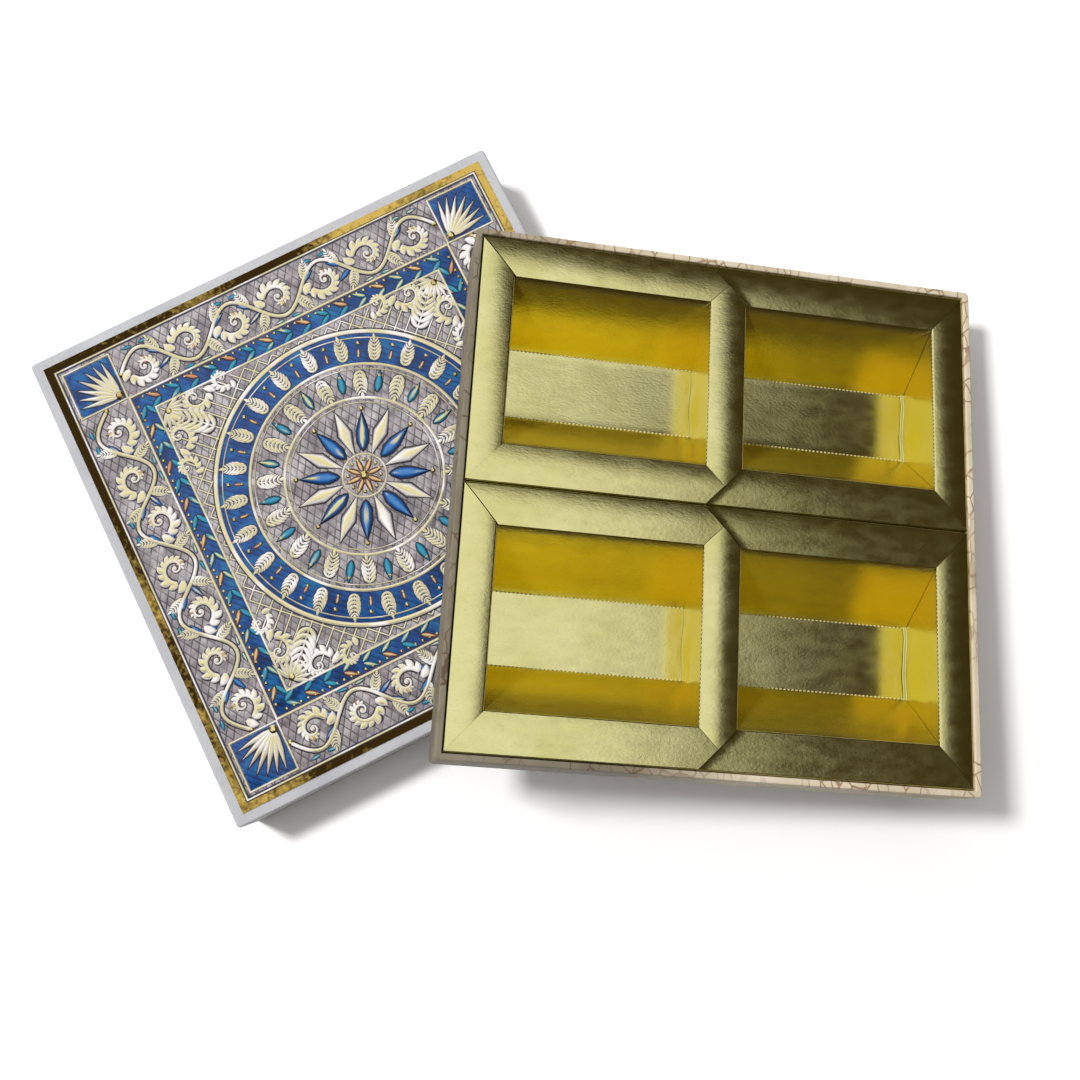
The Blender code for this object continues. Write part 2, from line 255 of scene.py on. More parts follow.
def metallised_card(name):
    """Folding boxboard laminated with aluminium-metallised polyester film, dyed pale
    gold: a satin mirror over a fine leathery grain, drawn out along the web, which the
    board's fibres press into the film. The real grain is about 0.3 mm; it is drawn at
    0.8 mm. The film mirrors itself on the sloping walls, so they look amber: painted
    reflection, written into their tint deeper and a little less metallic."""
    made, node, place, shader = blank(name, TRAY_SEAT)
    cloud = node("TexNoise", {"Vector": place, "Scale": every(20), "Detail": 3.0})
    web = node("Mapping", {0: place, "Scale": (0.55, 1.0, 1.0)})
    grain = node("TexNoise", {"Vector": web, "Scale": every(0.77), "Detail": 3.0, "Roughness": 0.6})
    crawl = node("TexNoise", {"Vector": web, "Scale": every(4.17), "Detail": 2.0})
    # Painted reflection: the sloping walls get a deeper amber tint and a little less metal, for the
    # film mirroring itself there
    level = node("SeparateXYZ", {0: place}).outputs[2]
    part = node("MapRange", {0: level, 1: INSERT_SEAT, 2: INSERT_SEAT + INSERT_HEIGHT})
    sloping = node("ValToRGB", {0: part}, [(0.035, 0.0), (0.1, 1.0), (0.9, 0.85), (0.975, 0.0)])
    size = node("VectorMath", {0: place}, operation="ABSOLUTE")
    x, y, _ = node("SeparateXYZ", {0: size}).outputs
    out = node("Math", {0: x, 1: y}, operation="MAXIMUM")
    skirt = INSERT_LENGTH / 2
    inside = node("MapRange", {0: out, 1: skirt - 1.5 * MM, 2: skirt - 2 * MM})
    painted_wall_reflection = node("Math", {0: sloping, 1: inside}, operation="MULTIPLY")
    pale = node("ValToRGB", {0: cloud}, [(0.3, "#D9D38E"), (0.7, "#E2DDA0")])
    tint = node("Mix", {0: painted_wall_reflection, 6: pale, 7: ink("#E6D034")}, **COLOUR)
    pit = node("ValToRGB", {0: grain}, [(0.25, 0.9), (0.45, 1.0)])
    both = node("Mix", {0: 1.0, 6: tint, 7: pit}, **MULTIPLY)
    rough = node("MapRange", {0: crawl, 1: 0.3, 2: 0.7, 3: 0.15, 4: 0.23})
    fine = node("Bump", {"Strength": 0.5, "Distance": 0.07 * MM, "Height": grain})
    broad = node("Bump", {"Strength": 0.5, "Distance": 0.06 * MM, "Height": crawl, "Normal": fine})
    mirror = node("MapRange", {0: painted_wall_reflection, 3: 1.0, 4: 0.84})
    plug(shader, {"Base Color": both, "Metallic": mirror, "Roughness": rough, "Normal": broad})
    return made


def stamped_foil(name, colour, dull, bare, full):
    """Hot-stamped gold foil on dark brown ink: a near mirror that breaks up into small
    crinkles of 1 to 3 mm. Painted reflection shifts its colour towards the dull ink between
    two opposite corners and towards the gold at them; bare and full are those shifts."""
    made, node, place, shader = blank(name, LID_SEAT)
    crease = node("TexNoise", {"Vector": place, "Scale": every(1.92), "Detail": 3.0, "Distortion": 0.5})
    tooth = node("TexNoise", {"Vector": place, "Scale": every(0.417), "Detail": 1.0})
    region = node("TexNoise", {"Vector": place, "Scale": every(41.7), "Detail": 1.0})
    # Painted reflection: the foil is drawn duller between two opposite corners and brighter at them
    x, y, _ = node("SeparateXYZ", {0: place}).outputs
    along = node("Math", {0: y, 1: 0.5, 2: x}, operation="MULTIPLY_ADD")
    corner = 1.5 * LABEL_HALF
    across = node("MapRange", {0: along, 1: -corner, 2: corner})
    ends = node("ValToRGB", {0: across}, [(0.0, 1.0), (0.2, 0.0), (0.6, 0.0), (0.85, 1.0)])
    cover = node("MapRange", {0: ends, 3: bare, 4: full})
    patch = node("Math", {0: crease, 1: 0.5, 2: region}, operation="MULTIPLY_ADD")
    struck = node("Math", {0: patch, 1: cover})
    tint = node("ValToRGB", {0: struck}, [(0.56, dull), (0.84, colour)])
    rough = node("MapRange", {0: tooth, 3: 0.14, 4: 0.32})
    relief = node("Bump", {"Strength": 0.7, "Distance": 0.22 * MM, "Height": crease})
    plug(shader, {"Base Color": tint, "Metallic": 1.0, "Roughness": rough, "Normal": relief})
    return made


def embossed_print(name, low, shade, body, high, gilt, gilded):
    """Offset print on embossed pearl paper: dark ink round the foot of each shape, its own
    colour on the flanks, paler where the press stands high, and a thin gold foil line
    on some of the crests."""
    made, node, place, shader = blank(name)
    level = node("Attribute", attribute_name="rise").outputs["Fac"]
    mottle = node("TexNoise", {"Vector": place, "Scale": every(1.667), "Detail": 3.0})
    wander = node("Math", {0: mottle, 1: 0.12, 2: -0.06}, operation="MULTIPLY_ADD")
    height = node("Math", {0: level, 1: wander})
    tint = node("ValToRGB", {0: height}, [(0.14, low), (0.3, shade), (0.55, body), (0.85, high)])
    region = node("TexNoise", {"Vector": place, "Scale": every(13.33), "Detail": 1.0})
    struck = node("ValToRGB", {0: region}, [(0.5 - gilded / 4, 0.0), (0.6 - gilded / 4, 1.0)])
    crest = node("ValToRGB", {0: height}, [(0.74, 0.0), (0.86, 1.0)])
    gold = node("Math", {0: struck, 1: crest}, operation="MULTIPLY")
    both = node("Mix", {0: gold, 6: tint, 7: ink(gilt)}, **COLOUR)
    fine = node("Bump", {"Strength": 0.3, "Distance": 0.05 * MM, "Height": mottle})
    plug(shader, {"Base Color": both, "Metallic": gold, "Roughness": 0.32, "Normal": fine, "IOR": 1.5})
    return made


def printed_ground(name, low, body, high, line, pitch, depth, quilted):
    """A printed field of the label under a gloss varnish: cloudy ink, and either a quilt
    of small pressed diamonds or fine engraved lines, pitch metres apart and broken here
    and there."""
    made, node, place, shader = blank(name, LID_SEAT)
    cloud = node("TexNoise", {"Vector": place, "Scale": every(9.09), "Detail": 5.0, "Distortion": 1.0})
    tint = node("ValToRGB", {0: cloud}, [(0.3, low), (0.5, body), (0.68, high)])
    if quilted:
        turned = node("Mapping", {0: place, "Rotation": (0, 0, pi / 4),
                                  "Scale": (1 / pitch, 0.62 / pitch, 1 / pitch)})
        x, y, _ = node("SeparateXYZ", {0: turned}).outputs
        sides = [node("Math", {0: side, 1: 0.5}, operation="PINGPONG") for side in (x, y)]
        engraved = node("Math", {0: sides[0], 1: sides[1]}, operation="MINIMUM")
    else:
        engraved = node("TexWave", {"Vector": place, "Scale": 0.32 / pitch,
                                    "Distortion": 2.2, "Detail": 2.0,
                                    "Detail Scale": 0.5}, bands_direction="DIAGONAL")
    lines = node("ValToRGB", {0: engraved}, [(0.03, 1.0), (0.12 if quilted else 0.13, 0.0)])
    patch = node("TexNoise", {"Vector": place, "Scale": every(6.25), "Detail": 1.0})
    kept = node("MapRange", {0: patch, 1: 0.35, 2: 0.55, 3: 0.45 * depth if quilted else 0.0, 4: depth})
    share = node("Math", {0: lines, 1: kept}, operation="MULTIPLY")
    both = node("Mix", {0: share, 6: tint, 7: ink(line)}, **COLOUR)
    relief = node("Bump", {"Strength": 0.6 if quilted else 0.35,
                           "Distance": (1.0 if quilted else 0.08) * MM, "Height": engraved})
    plug(shader, {"Base Color": both, "Roughness": 0.3, "Normal": relief, "IOR": 1.5})
    return made


# Machine-coated wrapping paper, cool white
LID_PAPER = white_paper("coated_wrapping_paper", "#BEBFC2", "#B0B1B6", "#A6A7AD")
# Uncoated liner sheet, warmer
LINER_PAPER = white_paper("uncoated_liner_paper", "#CFCBC4", "#C4C0B8", "#B0AEA8")
TRAY_PAPER = veined_paper("veined_decorative_paper")
BOARD = greyboard("recycled_greyboard")
# Gummed kraft paper: brown, with the long fibres of unbleached pulp
TAPE = fibrous("gummed_kraft_tape", 0.455, 2.275,
               [(0.3, "#8A6844"), (0.5, "#A98560"), (0.7, "#C2A27C")], 0.8)
GOLD_CARD = metallised_card("gold_metallised_boxboard")
# The boxboard's uncoated back: grey-white, faintly mottled
CARD_BACK = fibrous("boxboard_back", 0.667, 0.667, [(0.3, "#B9B4A8"), (0.7, "#D2CDC2")], 0.85)
# The boxboard's pale core, bared where it is cut; on the nicks it is partly painted highlight
CUT_EDGE_AND_HIGHLIGHT = fibrous("cut_boxboard_edge_and_highlight", 0.667, 0.667, [(0.3, "#CFC388"), (0.7, "#EADFAC")], 0.85)
# The label's bare margin, with painted reflection between two corners, and the same foil, shifted
# evenly, on its studs
BAND_FOIL = stamped_foil("hot_stamped_gold_foil", "#D8B75E", "#38290F", -0.26, 0.08)
GILDING = stamped_foil("gold_foil_studs", "#EBDC9E", "#B59A52", 0.1, 0.1)

# Inks from foot to crest, the foil line's colour and the share of the crests it is on
PEARL, TEAL, BLUE, COPPER = (
    embossed_print(f"embossed_{name}_print", *look) for name, *look in (
        ("pearl", "#1C1719", "#6E6567", "#C6BFBF", "#EAE6E2", "#F0E4AC", 0.5),
        ("teal", "#0A1A22", "#0B4A66", "#116A8C", "#2E8CA8", "#EADDA0", 0.1),
        ("blue", "#0A1222", "#0B3270", "#134C92", "#3B78B4", "#EADDA0", 0.1),
        ("copper", "#2A1712", "#69392A", "#93593F", "#BD8A68", "#EAD69A", 0.6)))

# Inks from dark to pale, the lines' colour, pitch and depth, and whether it is quilted
BLUE_FIELD, PEARL_FIELD, GREY_FIELD, VIOLET_FIELD = (
    printed_ground(f"printed_{name}_field", *look) for name, *look in (
        ("blue", "#0A2A5A", "#0E4486", "#0F6498", "#051A34", 1.5 * MM, 0.8, False),
        ("pearl", "#837C7F", "#A69FA2", "#C4BFBF", "#3A3235", 2.3 * MM, 0.8, True),
        ("grey", "#6F686C", "#979094", "#BAB4B6", "#2C2528", 2.5 * MM, 0.85, True),
        ("violet", "#2C2B48", "#3D3C5E", "#55547A", "#1B1A30", 1.2 * MM, 0.7, False)))


# Modelling

def clear_selection():
    """Leaves edit mode and selects nothing."""
    if bpy.context.object and bpy.context.object.mode != "OBJECT":
        bpy.ops.object.mode_set(mode="OBJECT")
    bpy.ops.object.select_all(action="DESELECT")


def choose(*pieces):
    """Selects these pieces alone, the first of them active."""
    clear_selection()
    for piece in pieces:
        piece.select_set(True)
    bpy.context.view_layer.objects.active = pieces[0]


def open_mesh(height=0):
    """Opens the active mesh for editing, all of it selected and moved up by a height."""
    bpy.ops.object.mode_set(mode="EDIT")
    bpy.ops.transform.translate(value=(0, 0, height))
    bpy.ops.mesh.select_mode(type="FACE")
    bpy.ops.mesh.select_all(action="SELECT")


def pick(kind, test, whole=False):
    """Selects the verts, edges or faces whose middle, or else every corner, passes."""
    bpy.ops.mesh.select_mode(type=kind)
    bpy.ops.mesh.select_all(action="DESELECT")
    mesh = bpy.context.edit_object.data
    shape = bmesh.from_edit_mesh(mesh)
    parts = {"VERT": shape.verts, "EDGE": shape.edges, "FACE": shape.faces}[kind]
    for part in parts:
        corners = [part.co] if kind == "VERT" else [vert.co for vert in part.verts]
        middle = sum(corners, Vector()) / len(corners)
        if all(map(test, corners)) if whole else test(middle):
            part.select_set(True)
    shape.select_flush_mode()
    bmesh.update_edit_mesh(mesh)


def pull(step):
    """Extrudes what is selected by a step."""
    bpy.ops.mesh.extrude_region_move(TRANSFORM_OT_translate={"value": step})


def resize(x, y, z=1, centre=(0, 0, 0)):
    """Scales what is selected about a point."""
    bpy.ops.transform.resize(value=(x, y, z), center_override=centre)


def rotate(angle, centre=(0, 0, 0)):
    """Turns what is selected anticlockwise about z, against the operator's own sense."""
    bpy.ops.transform.rotate(value=-angle, orient_axis="Z", center_override=centre)


def split(test, point, normal):
    """Splits the faces that pass the test along a plane."""
    pick("FACE", test)
    bpy.ops.mesh.bisect(plane_co=point, plane_no=normal, threshold=0.0001 * MM)


def trim(test, point, normal):
    """Cuts the faces that pass the test at a plane, and drops what lies beyond it."""
    split(test, point, normal)
    pick("FACE", lambda place: test(place) and (place - Vector(point)).dot(normal) > 0)
    bpy.ops.mesh.delete(type="FACE")


def face_out():
    """Merges what touches and turns a closed mesh's faces outward."""
    bpy.ops.mesh.select_all(action="SELECT")
    bpy.ops.mesh.remove_doubles(threshold=0.002 * MM)
    bpy.ops.mesh.normals_make_consistent(inside=False)


def face_up():
    """Turns a sheet's faces to the side that looks up on the whole."""
    bpy.ops.mesh.select_all(action="SELECT")
    bpy.ops.mesh.normals_make_consistent(inside=False)
    shape = bmesh.from_edit_mesh(bpy.context.edit_object.data)
    if sum(face.normal.z * face.calc_area() for face in shape.faces) < 0:
        bpy.ops.mesh.flip_normals()


def soften(angle):
    """Closes the editing and shades smoothly across edges below an angle."""
    bpy.ops.object.mode_set(mode="OBJECT")
    bpy.ops.object.shade_smooth_by_angle(angle=radians(angle))


def lay(piece, seat):
    """Takes a piece from its level frame to its place, and puts that in its mesh."""
    choose(piece)
    piece.matrix_world = seat @ piece.matrix_world
    bpy.ops.object.transform_apply(location=True, rotation=True, scale=True)


def copies(source, places):
    """The source at each place, each copy with its own mesh; the source itself goes."""
    made = []
    for place in places:
        twin = source.copy()
        twin.data = source.data.copy()
        bpy.context.collection.objects.link(twin)
        twin.matrix_world = place @ source.matrix_world
        made.append(twin)
    bpy.data.objects.remove(source)
    return made


def cluster(parts):
    """Joins shapes into one."""
    choose(*parts)
    bpy.ops.object.transform_apply(location=True, rotation=True, scale=True)
    if len(parts) > 1:
        bpy.ops.object.join()
    piece = bpy.context.object
    clear_selection()
    return piece


def waves(size, height):
    """Gentle waves of the whole sheet, as real card and paper have."""
    texture = bpy.data.textures.new("waves", "CLOUDS")
    texture.noise_scale = size
    texture.noise_depth = 1
    modifier = bpy.context.object.modifiers.new("waves", "DISPLACE")
    modifier.texture = texture
    modifier.texture_coords = "LOCAL"
    modifier.strength = height
    modifier.mid_level = 0.5
    bpy.ops.object.modifier_apply(modifier="waves")


def thicken(thickness, back):
    """Gives a sheet its thickness, away from its face; back is the back's material."""
    modifier = bpy.context.object.modifiers.new("thickness", "SOLIDIFY")
    modifier.thickness = thickness
    modifier.offset = -1
    modifier.use_even_offset = True
    modifier.material_offset = back
    modifier.material_offset_rim = back
    bpy.ops.object.modifier_apply(modifier="thickness")
    soften(50)


def present(piece, name, body, slot, replaced, *materials):
    """Names a finished piece, gives it its finish and sets it on its body."""
    piece.name = name
    piece.data.name = name
    piece.data.materials.clear()
    for material in materials:
        piece.data.materials.append(material)
    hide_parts(*replaced)
    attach(piece, body)
    clear_selection()


# The card inserts

# Crown of the rims, radii of the folds and the creases, how far below the top a rim's
# folds reach, and the end walls' lip on the floor
CROWN = 0.42 * MM
FOLD = 0.8 * MM
CREASE = 0.5 * MM
RIM_DEPTH = 1.4 * MM
LIP = 1.5 * MM

# Widths of the seams at the four corners, by side
OPEN_SEAM = 0.34 * MM
FINE_SEAM = 0.14 * MM
SOFT_SEAM = 0.04 * MM
SEAMS = {(-1, 1): OPEN_SEAM, (-1, -1): SOFT_SEAM, (1, 1): FINE_SEAM, (1, -1): FINE_SEAM}

# Where thumbs pushed the card: the place, how far round it, and the push
WRINKLES = [((-DIVIDER_HALF, -3 * MM, 5 * MM), 9 * MM, (-1.0 * MM, 0, 0)),
            ((-DIVIDER_HALF, 9 * MM, 3 * MM), 5 * MM, (0.5 * MM, 0, 0)),
            ((-DIVIDER_HALF, -12 * MM, 9 * MM), 8 * MM, (0.7 * MM, 0, 0))]
WALL_PLACE = RIM_SHORT - INSERT_LENGTH / 2
WALL_BULGES = [((WALL_PLACE, 4 * MM, 5 * MM), 9 * MM, (0.8 * MM, 0, 0)),
               ((WALL_PLACE, -9 * MM, 3 * MM), 7 * MM, (-0.6 * MM, 0, 0)),
               ((WALL_PLACE, 10 * MM, 14 * MM), 8 * MM, (-0.6 * MM, 0, 0))]


def soft_path(corners, spans):
    """A bent line with its corners rounded and its spans bowed.

    A corner is (across, height, radius); a span is (number of steps, bow).
    """
    round_steps = 4
    points = [Vector(corner[:2]) for corner in corners]
    starts, ends, rounds = [points[0]], [], [[]]
    for index in range(1, len(points) - 1):
        here = points[index]
        before = (points[index - 1] - here).normalized()
        after = (points[index + 1] - here).normalized()
        bluntness = hypot(*(before + after)) / max(hypot(*(before - after)), 1e-6)
        reach = corners[index][2] * bluntness
        near = here + before * reach
        far = here + after * reach
        ends.append(near)
        starts.append(far)
        rounds.append([near * (1 - t) ** 2 + here * 2 * t * (1 - t) + far * t ** 2
                       for t in (step / round_steps for step in range(1, round_steps))])
    ends.append(points[-1])
    line = []
    for (count, bow), start, end, bend in zip(spans, starts, ends, rounds):
        along = (end - start).normalized()
        side = Vector((-along.y, along.x))
        line += bend
        for step in range(count + 1):
            t = step / count
            line.append(start.lerp(end, t) + side * bow * 4 * t * (1 - t))
    return line


def folded_strip(line, reach, count, across_y):
    """Card pulled along a bent line across y, or else across x, from a straight edge of
    so many segments."""
    def spot(point):
        return (0, point.x, point.y) if across_y else (point.x, 0, point.y)

    bpy.ops.mesh.primitive_grid_add(x_subdivisions=count, y_subdivisions=1, size=2)
    open_mesh()
    pick("VERT", lambda place: place.y > 0)
    bpy.ops.mesh.delete(type="VERT")
    pick("VERT", lambda place: True)
    resize(reach, 0, 0)
    if not across_y:
        rotate(-pi / 2)
    bpy.ops.mesh.select_mode(type="EDGE")
    bpy.ops.mesh.select_all(action="SELECT")
    bpy.ops.transform.translate(value=spot(line[0]))
    for before, after in zip(line, line[1:]):
        pull(spot(after - before))
    face_up()


def swell(point, reach, push):
    """Pushes the card about a point, with a smooth falloff, as a thumb does."""
    shape = bmesh.from_edit_mesh(bpy.context.edit_object.data)
    nearest = min((vert.co - Vector(point)).length for vert in shape.verts)
    pick("VERT", lambda place: (place - Vector(point)).length < nearest + 0.01 * MM)
    bpy.ops.transform.translate(value=push, use_proportional_edit=True,
                                proportional_edit_falloff="SMOOTH", proportional_size=reach)


def finish_card(insert, name, node, seat, wavelength, height):
    """Lays the folded card in its place, and gives it gentle waves and its thickness."""
    piece = bpy.context.edit_object
    soften(50)
    lay(piece, seat)
    waves(wavelength, height)
    thicken(CARD, 1)
    present(piece, f"{insert}_{name}", f"insert_{insert}", "gold_card",
            [f"insert_{insert}_{node}"], GOLD_CARD, CARD_BACK)


def high_enough(place):
    """Whether a place is on the rims or the top of the divider."""
    return place.z > INSERT_HEIGHT - RIM_DEPTH


def mitre(side_x, side_y):
    """A corner of the opening, and the way from the seam there to the end's rim."""
    inner = Vector((side_x * (INSERT_LENGTH / 2 - RIM_SHORT), side_y * OPENING_HALF, 0))
    outer = Vector((side_x * INSERT_LENGTH / 2, side_y * (INSERT_WIDTH / 2 - CARD), 0))
    run = (outer - inner).normalized()
    return inner, Vector((side_x * abs(run.y), -side_y * abs(run.x), 0))


def trough(insert, seat):
    """Skirts, long rims, sloping walls and floor, all one folded strip."""
    edge = INSERT_WIDTH / 2
    end = INSERT_LENGTH / 2
    open_end = end - RIM_SHORT - TOUCH_GAP / 2
    half = [(edge, 0, 0), (edge, INSERT_HEIGHT, FOLD), (OPENING_HALF, INSERT_HEIGHT, FOLD),
            (FLOOR_HALF, CARD, CREASE)]
    corners = [(-across, height, radius) for across, height, radius in half] + half[::-1]
    skirt, rim, wall, base = (4, 0.1 * MM), (10, CROWN), (12, 0.15 * MM), (10, -0.1 * MM)
    line = soft_path(corners, [skirt, rim, wall, base, wall, rim, skirt])
    folded_strip(line, end, count=120, across_y=True)
    for (side_x, side_y), gap in SEAMS.items():
        inner, across = mitre(side_x, side_y)
        trim(lambda place: place.y * side_y > OPENING_HALF - FOLD / 2 and high_enough(place)
             and place.x * side_x > 0, inner - across * gap, across)
    for side_x in (1, -1):
        trim(lambda place: abs(place.y) < OPENING_HALF and place.x * side_x > 0,
             Vector((side_x * open_end, 0, INSERT_HEIGHT)),
             Vector((side_x * (INSERT_HEIGHT - CARD), 0, -END_LEAN)))
    for side_y in (1, -1):
        notch(side_y)
    finish_card(insert, "trough_card", "trough", seat, wavelength=26 * MM, height=0.16 * MM)


def notch(side_y):
    """The place of the divider's point in a rim, and the slit that runs on from it."""
    gap = 0.13 * MM
    reach = 13 * MM
    lip_height = 0.22 * MM
    lip_width = 1.6 * MM
    seam = Vector((-2 * DIVIDER_HALF, RIM_LONG * side_y))
    other = Vector((2 * DIVIDER_HALF, RIM_LONG * side_y))
    corner = Vector((DIVIDER_HALF, OPENING_HALF * side_y))
    far = Vector((-DIVIDER_HALF, OPENING_HALF * side_y))
    out = Vector((seam.y, -seam.x)).normalized() * side_y
    out_other = Vector((-other.y, other.x)).normalized() * side_y

    def past(place, point, normal):
        return (Vector((place.x, place.y)) - point).dot(normal)

    def on_rim(place):
        return (place.y * side_y > OPENING_HALF - FOLD and abs(place.x) < reach
                and place.z > INSERT_HEIGHT - 0.45 * FOLD)

    def on_side(place):
        return abs(place.x) < reach and place.y * side_y > INSERT_WIDTH / 2 - FOLD

    def in_cut(place):
        beyond = past(place, corner, out)
        in_notch = beyond < gap and past(place, far, out_other) < gap
        return on_rim(place) and (abs(beyond) < gap or in_notch)

    for point, normal in ((corner + out * gap, out), (corner - out * gap, out),
                          (far + out_other * gap, out_other)):
        split(lambda place: on_rim(place) or on_side(place), (*point, 0), (*normal, 0))
    pick("FACE", in_cut)
    bpy.ops.mesh.delete(type="FACE")
    pick("VERT", lambda place: on_rim(place) and place.z > INSERT_HEIGHT - 0.1 * MM
         and abs(past(place, corner, out) - gap) < 0.02 * MM)
    bpy.ops.transform.translate(value=(0, 0, lip_height), use_proportional_edit=True,
                                proportional_edit_falloff="SHARP",
                                proportional_size=lip_width, use_proportional_connected=True)


def end_piece(insert, seat, side_name, turn, bulges):
    """Skirt, short rim and upright end wall, made for the left and turned to its side."""
    end = INSERT_LENGTH / 2
    inner = end - RIM_SHORT
    wall = inner - END_LEAN
    foot = CARD + 0.45 * MM
    corners = [(-end, 0, 0), (-end, INSERT_HEIGHT, FOLD), (-inner, INSERT_HEIGHT, FOLD),
               (-wall, foot, CREASE), (LIP - wall, foot, 0)]
    line = soft_path(corners, [(4, 0), (10, 0.36 * MM), (18, 0), (4, 0.12 * MM)])
    folded_strip(line, INSERT_WIDTH / 2 - CARD - TOUCH_GAP, count=60, across_y=False)
    fall = Vector((FLOOR_HALF - OPENING_HALF, -INSERT_HEIGHT))
    for side_y in (1, -1):
        point, across = mitre(-1, side_y)
        trim(lambda place: high_enough(place) and place.y * side_y > 0, point, -across)
        trim(lambda place: place.x > -inner - FOLD and not place.z > INSERT_HEIGHT - FOLD
             and place.y * side_y > 0, Vector((0, side_y * OPENING_HALF, INSERT_HEIGHT)),
             Vector((0, -side_y * fall.y, fall.x)))
    for bulge in bulges:
        swell(*bulge)
    finish_card(insert, f"end_card_{side_name}", f"end_{side_name}",
                seat @ Matrix.Rotation(turn, 4, "Z"), wavelength=22 * MM, height=0.14 * MM)


def divider(insert, seat):
    """Two upright walls under a crowned cap that ends in two points."""
    foot = CARD + 0.1 * MM
    tip = OPENING_HALF + RIM_LONG / 2 - 0.1 * MM
    wall_top = OPENING_HALF - 0.1 * MM
    corners = [(-DIVIDER_HALF, foot, 0), (-DIVIDER_HALF, INSERT_HEIGHT, FOLD),
               (DIVIDER_HALF, INSERT_HEIGHT, FOLD), (DIVIDER_HALF, foot, 0)]
    line = soft_path(corners, [(16, 0), (12, 0.44 * MM), (16, 0)])
    folded_strip(line, tip, count=90, across_y=False)
    slope = Vector((-DIVIDER_HALF, tip - wall_top))
    fall = Vector((FLOOR_HALF - OPENING_HALF, foot - INSERT_HEIGHT))
    for side_y in (1, -1):
        for side_x in (1, -1):
            trim(lambda place: high_enough(place) and place.y * side_y > 0
                 and place.x * side_x > 0, Vector((0, side_y * tip, 0)),
                 Vector((side_x * slope.y, -side_y * slope.x, 0)))
        trim(lambda place: not high_enough(place) and place.y * side_y > 0,
             Vector((0, side_y * wall_top, INSERT_HEIGHT)), Vector((0, -side_y * fall.y, fall.x)))
    for wrinkle in WRINKLES:
        swell(*wrinkle)
    finish_card(insert, "divider_card", "divider", seat, wavelength=20 * MM, height=0.12 * MM)


def nicks(insert, seat):
    """The perforations of the floor creases and of two top folds: short cuts that show
    the pale board under the film, with lips that stand up a little. Their pale colour is
    partly that board and partly painted highlight, for the bright dashes the creases and
    folds catch."""
    pitch = 1.6 * MM
    sunk = 0.1 * MM
    floor_lean = radians(26)
    fold_lean = radians(-24)
    bpy.ops.mesh.primitive_circle_add(vertices=6, radius=1, fill_type="NGON")
    open_mesh(-sunk)
    resize(0.5 * MM, 0.3 * MM)
    pull((0, 0, 0.3 * MM))
    resize(0.8, 0.4)
    face_out()
    nick = bpy.context.edit_object
    soften(40)
    places = []
    reach = INSERT_LENGTH / 2 - RIM_SHORT - 1 * MM
    for side_y in (1, -1):
        x = -reach
        while x < reach:
            if abs(x) > DIVIDER_HALF + 0.4 * MM:
                places.append(Matrix.Translation((x, side_y * (FLOOR_HALF - sunk), CARD + sunk))
                              @ Matrix.Rotation(floor_lean * side_y, 4, "X"))
            x += pitch
    end = OPENING_HALF - 2 * MM
    for x in (INSERT_LENGTH / 2 - RIM_SHORT + 0.16 * MM, -DIVIDER_HALF + 0.24 * MM):
        y = -end
        while y < end:
            places.append(Matrix.Translation((x, y, INSERT_HEIGHT - 0.12 * MM))
                          @ Matrix.Rotation(fold_lean, 4, "Y") @ Matrix.Rotation(pi / 2, 4, "Z"))
            y += pitch
    piece = cluster(copies(nick, places))
    lay(piece, seat)
    present(piece, f"{insert}_trough_nicks", f"insert_{insert}", "gold_card",
            [f"insert_{insert}_trough"], CUT_EDGE_AND_HIGHLIGHT)


# The paper-wrapped shells

# How much smaller a wrap is drawn than the solid, to stay inside its box
SNUG = 0.9994


def paper_shell(name, side, seat, body, slot, node, material):
    """The wrap of one shell: panel, walls, rim and the flap turned in behind it."""
    half = side / 2
    inner = half - WALL
    near_corner = half * 1.38
    hair = 0.01 * MM

    def out(place):
        return max(abs(place.x), abs(place.y))

    def pick_loop(low, high):
        pick("EDGE", lambda place: place.z < hair and low < out(place) < high + hair, whole=True)

    bpy.ops.mesh.primitive_cube_add(size=1)
    open_mesh()
    resize(side, side, SHELL_HEIGHT)
    bpy.ops.transform.translate(value=(0, 0, SHELL_HEIGHT / 2))
    pick("EDGE", lambda place: hypot(place.x, place.y) > near_corner)
    bpy.ops.mesh.bevel(offset=CORNER_RADIUS, segments=8, profile=0.5)
    pick("FACE", lambda place: hypot(place.x, place.y) < 1 * MM and place.z < 1 * MM)
    bpy.ops.mesh.delete(type="FACE")
    pick("EDGE", lambda place: place.z > SHELL_HEIGHT - 0.1 * MM)
    bpy.ops.mesh.bevel(offset=EDGE_RADIUS, segments=5, profile=0.5)
    pick("EDGE", lambda place: place.z < hair)
    pull((0, 0, 0))
    resize(inner / half, inner / half)
    for x in (inner, -inner):
        for y in (inner, -inner):
            pick("VERT", lambda place: place.z < hair and out(place) < inner + hair
                 and hypot(place.x - x, place.y - y) < CORNER_RADIUS * 1.01)
            resize(0.2, 0.2, 1, (x, y, 0))
    pick_loop(0, inner)
    pull((0, 0, TURN_IN))
    for low, high in ((0, inner), (half - RIM_RADIUS, half)):
        pick_loop(low, high)
        bpy.ops.mesh.bevel(offset=RIM_RADIUS, segments=5, profile=0.5)
    face_up()
    piece = bpy.context.edit_object
    soften(30)
    choose(piece)
    thicken(PAPER, 0)
    middle = Matrix.Translation((0, 0, SHELL_HEIGHT / 2))
    lay(piece, seat @ middle @ Matrix.Scale(SNUG, 4) @ middle.inverted())
    present(piece, name, body, slot, [node], material)


# The label's embossed ornament

# How high the press lifts it, how deep its foot is sunk, and the width of the low foot
RELIEF = 0.55 * MM
SUNK = 0.04 * MM
FOOT = 0.42 * MM


